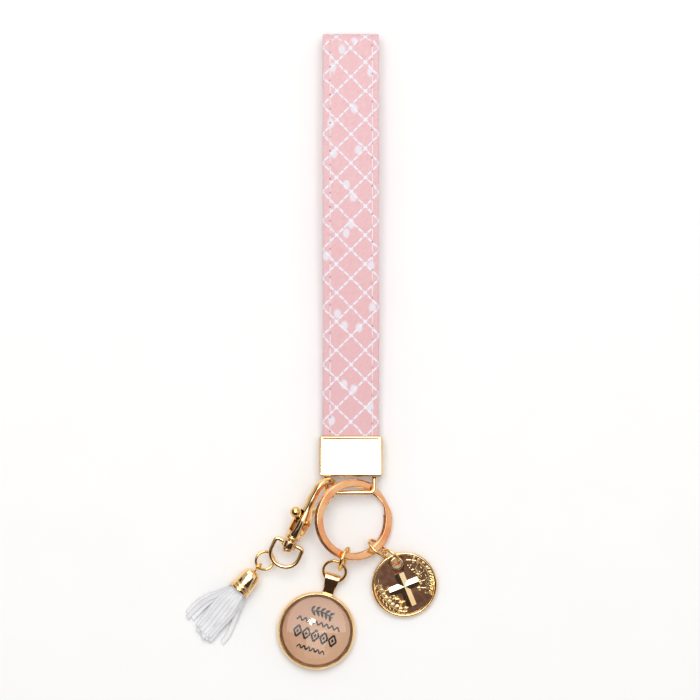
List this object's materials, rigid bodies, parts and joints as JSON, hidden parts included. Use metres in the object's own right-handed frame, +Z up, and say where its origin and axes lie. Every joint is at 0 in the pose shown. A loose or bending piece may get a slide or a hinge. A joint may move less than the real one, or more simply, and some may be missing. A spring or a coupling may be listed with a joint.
{
  "type": "wristlet key chain",
  "caption": "Folded cloth wrist strap in a metal end clamp, with a split key ring, a glass medallion, a coin charm and a swivel snap hook carrying a tassel.",
  "frame": {"origin": "centre of the whole object's box, at the surface it lies on", "axes": "+Y along the strap to its folded end, +Z up from the surface, +X to the coin charm's side"},
  "size_m": [0.0958, 0.242, 0.0141],
  "materials": {
    "printed_cloth": "pink twill printed with a white dashed lattice and soft dots",
    "plain_webbing": "plain pink webbing",
    "polished_gold": "polished light-gold plating",
    "rose_gold": "polished rose-gold plating",
    "printed_paper": "warm beige printed disc",
    "domed_glass": "clear domed glass",
    "spring_steel": "bare spring wire",
    "white_suede": "white suede"
  },
  "bodies": {
    "strap": {"strap_cover": "printed_cloth", "strap_webbing": "plain_webbing", "end_clamp": "polished_gold"},
    "bail": {"strap_bail": "polished_gold"},
    "key_ring": {"split_key_ring": "rose_gold"},
    "medallion_upper": {"medallion_upper_ring": "polished_gold"},
    "medallion_lower": {"medallion_lower_ring": "polished_gold"},
    "medallion": {"medallion_tray": "polished_gold", "medallion_print": "printed_paper", "medallion_glass": "domed_glass"},
    "coin_upper": {"coin_upper_ring": "polished_gold"},
    "coin_lower": {"coin_lower_ring": "polished_gold"},
    "coin": {"coin_charm": "polished_gold"},
    "clasp": {"clasp_hook": "polished_gold", "clasp_pin": "polished_gold", "clasp_spring": "spring_steel"},
    "trigger": {"clasp_lever": "polished_gold"},
    "swivel": {"swivel_loop": "polished_gold"},
    "tassel_link": {"tassel_link_ring": "polished_gold"},
    "tassel": {"tassel_cap": "polished_gold", "tassel_eye_pin": "polished_gold", "tassel_fringe": "white_suede"}
  },
  "joints": [
    {"name": "bail_swing", "type": "hinge", "parent": "strap", "child": "bail", "pos_m": [0.01497, -0.04528, 0.0035], "axis": [-1, 0, 0], "range_deg": [-50, 12]},
    {"name": "key_ring_turn", "type": "hinge", "parent": "bail", "child": "key_ring", "pos_m": [0.01594, -0.0638, 0.0066], "axis": [0.3551, 0, 0.9348], "range_deg": [-1, 25]},
    {"name": "medallion_slide", "type": "hinge", "parent": "key_ring", "child": "medallion_upper", "pos_m": [0.01594, -0.0638, 0.0066], "axis": [0.3551, 0, 0.9348], "range_deg": [-15, 36]},
    {"name": "medallion_swing", "type": "hinge", "parent": "medallion_upper", "child": "medallion_lower", "pos_m": [0.01233, -0.07849, 0.00714], "axis": [0.9047, -0.3899, 0.1719], "range_deg": [-72, 98]},
    {"name": "medallion_turn", "type": "hinge", "parent": "medallion_lower", "child": "medallion", "pos_m": [0.00875, -0.08335, 0.00416], "axis": [0.1471, 0.3962, -0.9063], "range_deg": [-55, 30]},
    {"name": "coin_slide", "type": "hinge", "parent": "key_ring", "child": "coin_upper", "pos_m": [0.01594, -0.0638, 0.0066], "axis": [-0.3551, 0, -0.9348], "range_deg": [-75, 36]},
    {"name": "coin_swing", "type": "hinge", "parent": "coin_upper", "child": "coin_lower", "pos_m": [0.02517, -0.07449, 0.00458], "axis": [-0.6109, -0.7159, -0.338], "range_deg": [-30, 78]},
    {"name": "coin_turn", "type": "hinge", "parent": "coin_lower", "child": "coin", "pos_m": [0.03007, -0.07798, 0.00393], "axis": [-0.515, -0.702, 0.492], "range_deg": [-18, 105]},
    {"name": "clasp_swing", "type": "hinge", "parent": "bail", "child": "clasp", "pos_m": [0.00567, -0.05348, 0.00615], "axis": [0, 0.9478, -0.319], "range_deg": [-5, 27]},
    {"name": "trigger_press", "type": "hinge", "parent": "clasp", "child": "trigger", "pos_m": [-0.00343, -0.06399, 0.0079], "axis": [0.5984, -0.3937, 0.6978], "range_deg": [0, 22], "stiffness_Nm_per_rad": 0.005, "springref_deg": -17.19},
    {"name": "swivel_turn", "type": "hinge", "parent": "clasp", "child": "swivel", "pos_m": [-0.00766, -0.0714, 0.00736], "axis": [0.4263, 0.8939, 0.1386], "range_deg": [-120, 120]},
    {"name": "tassel_link_swing", "type": "hinge", "parent": "swivel", "child": "tassel_link", "pos_m": [-0.0153, -0.0779, 0.00608], "axis": [0.3387, -0.9358, -0.0978], "range_deg": [-130, 60]},
    {"name": "tassel_swing", "type": "hinge", "parent": "tassel_link", "child": "tassel", "pos_m": [-0.01775, -0.07929, 0.0044], "axis": [-0.235, 0.191, -0.953], "range_deg": [-35, 105]}
  ]
}
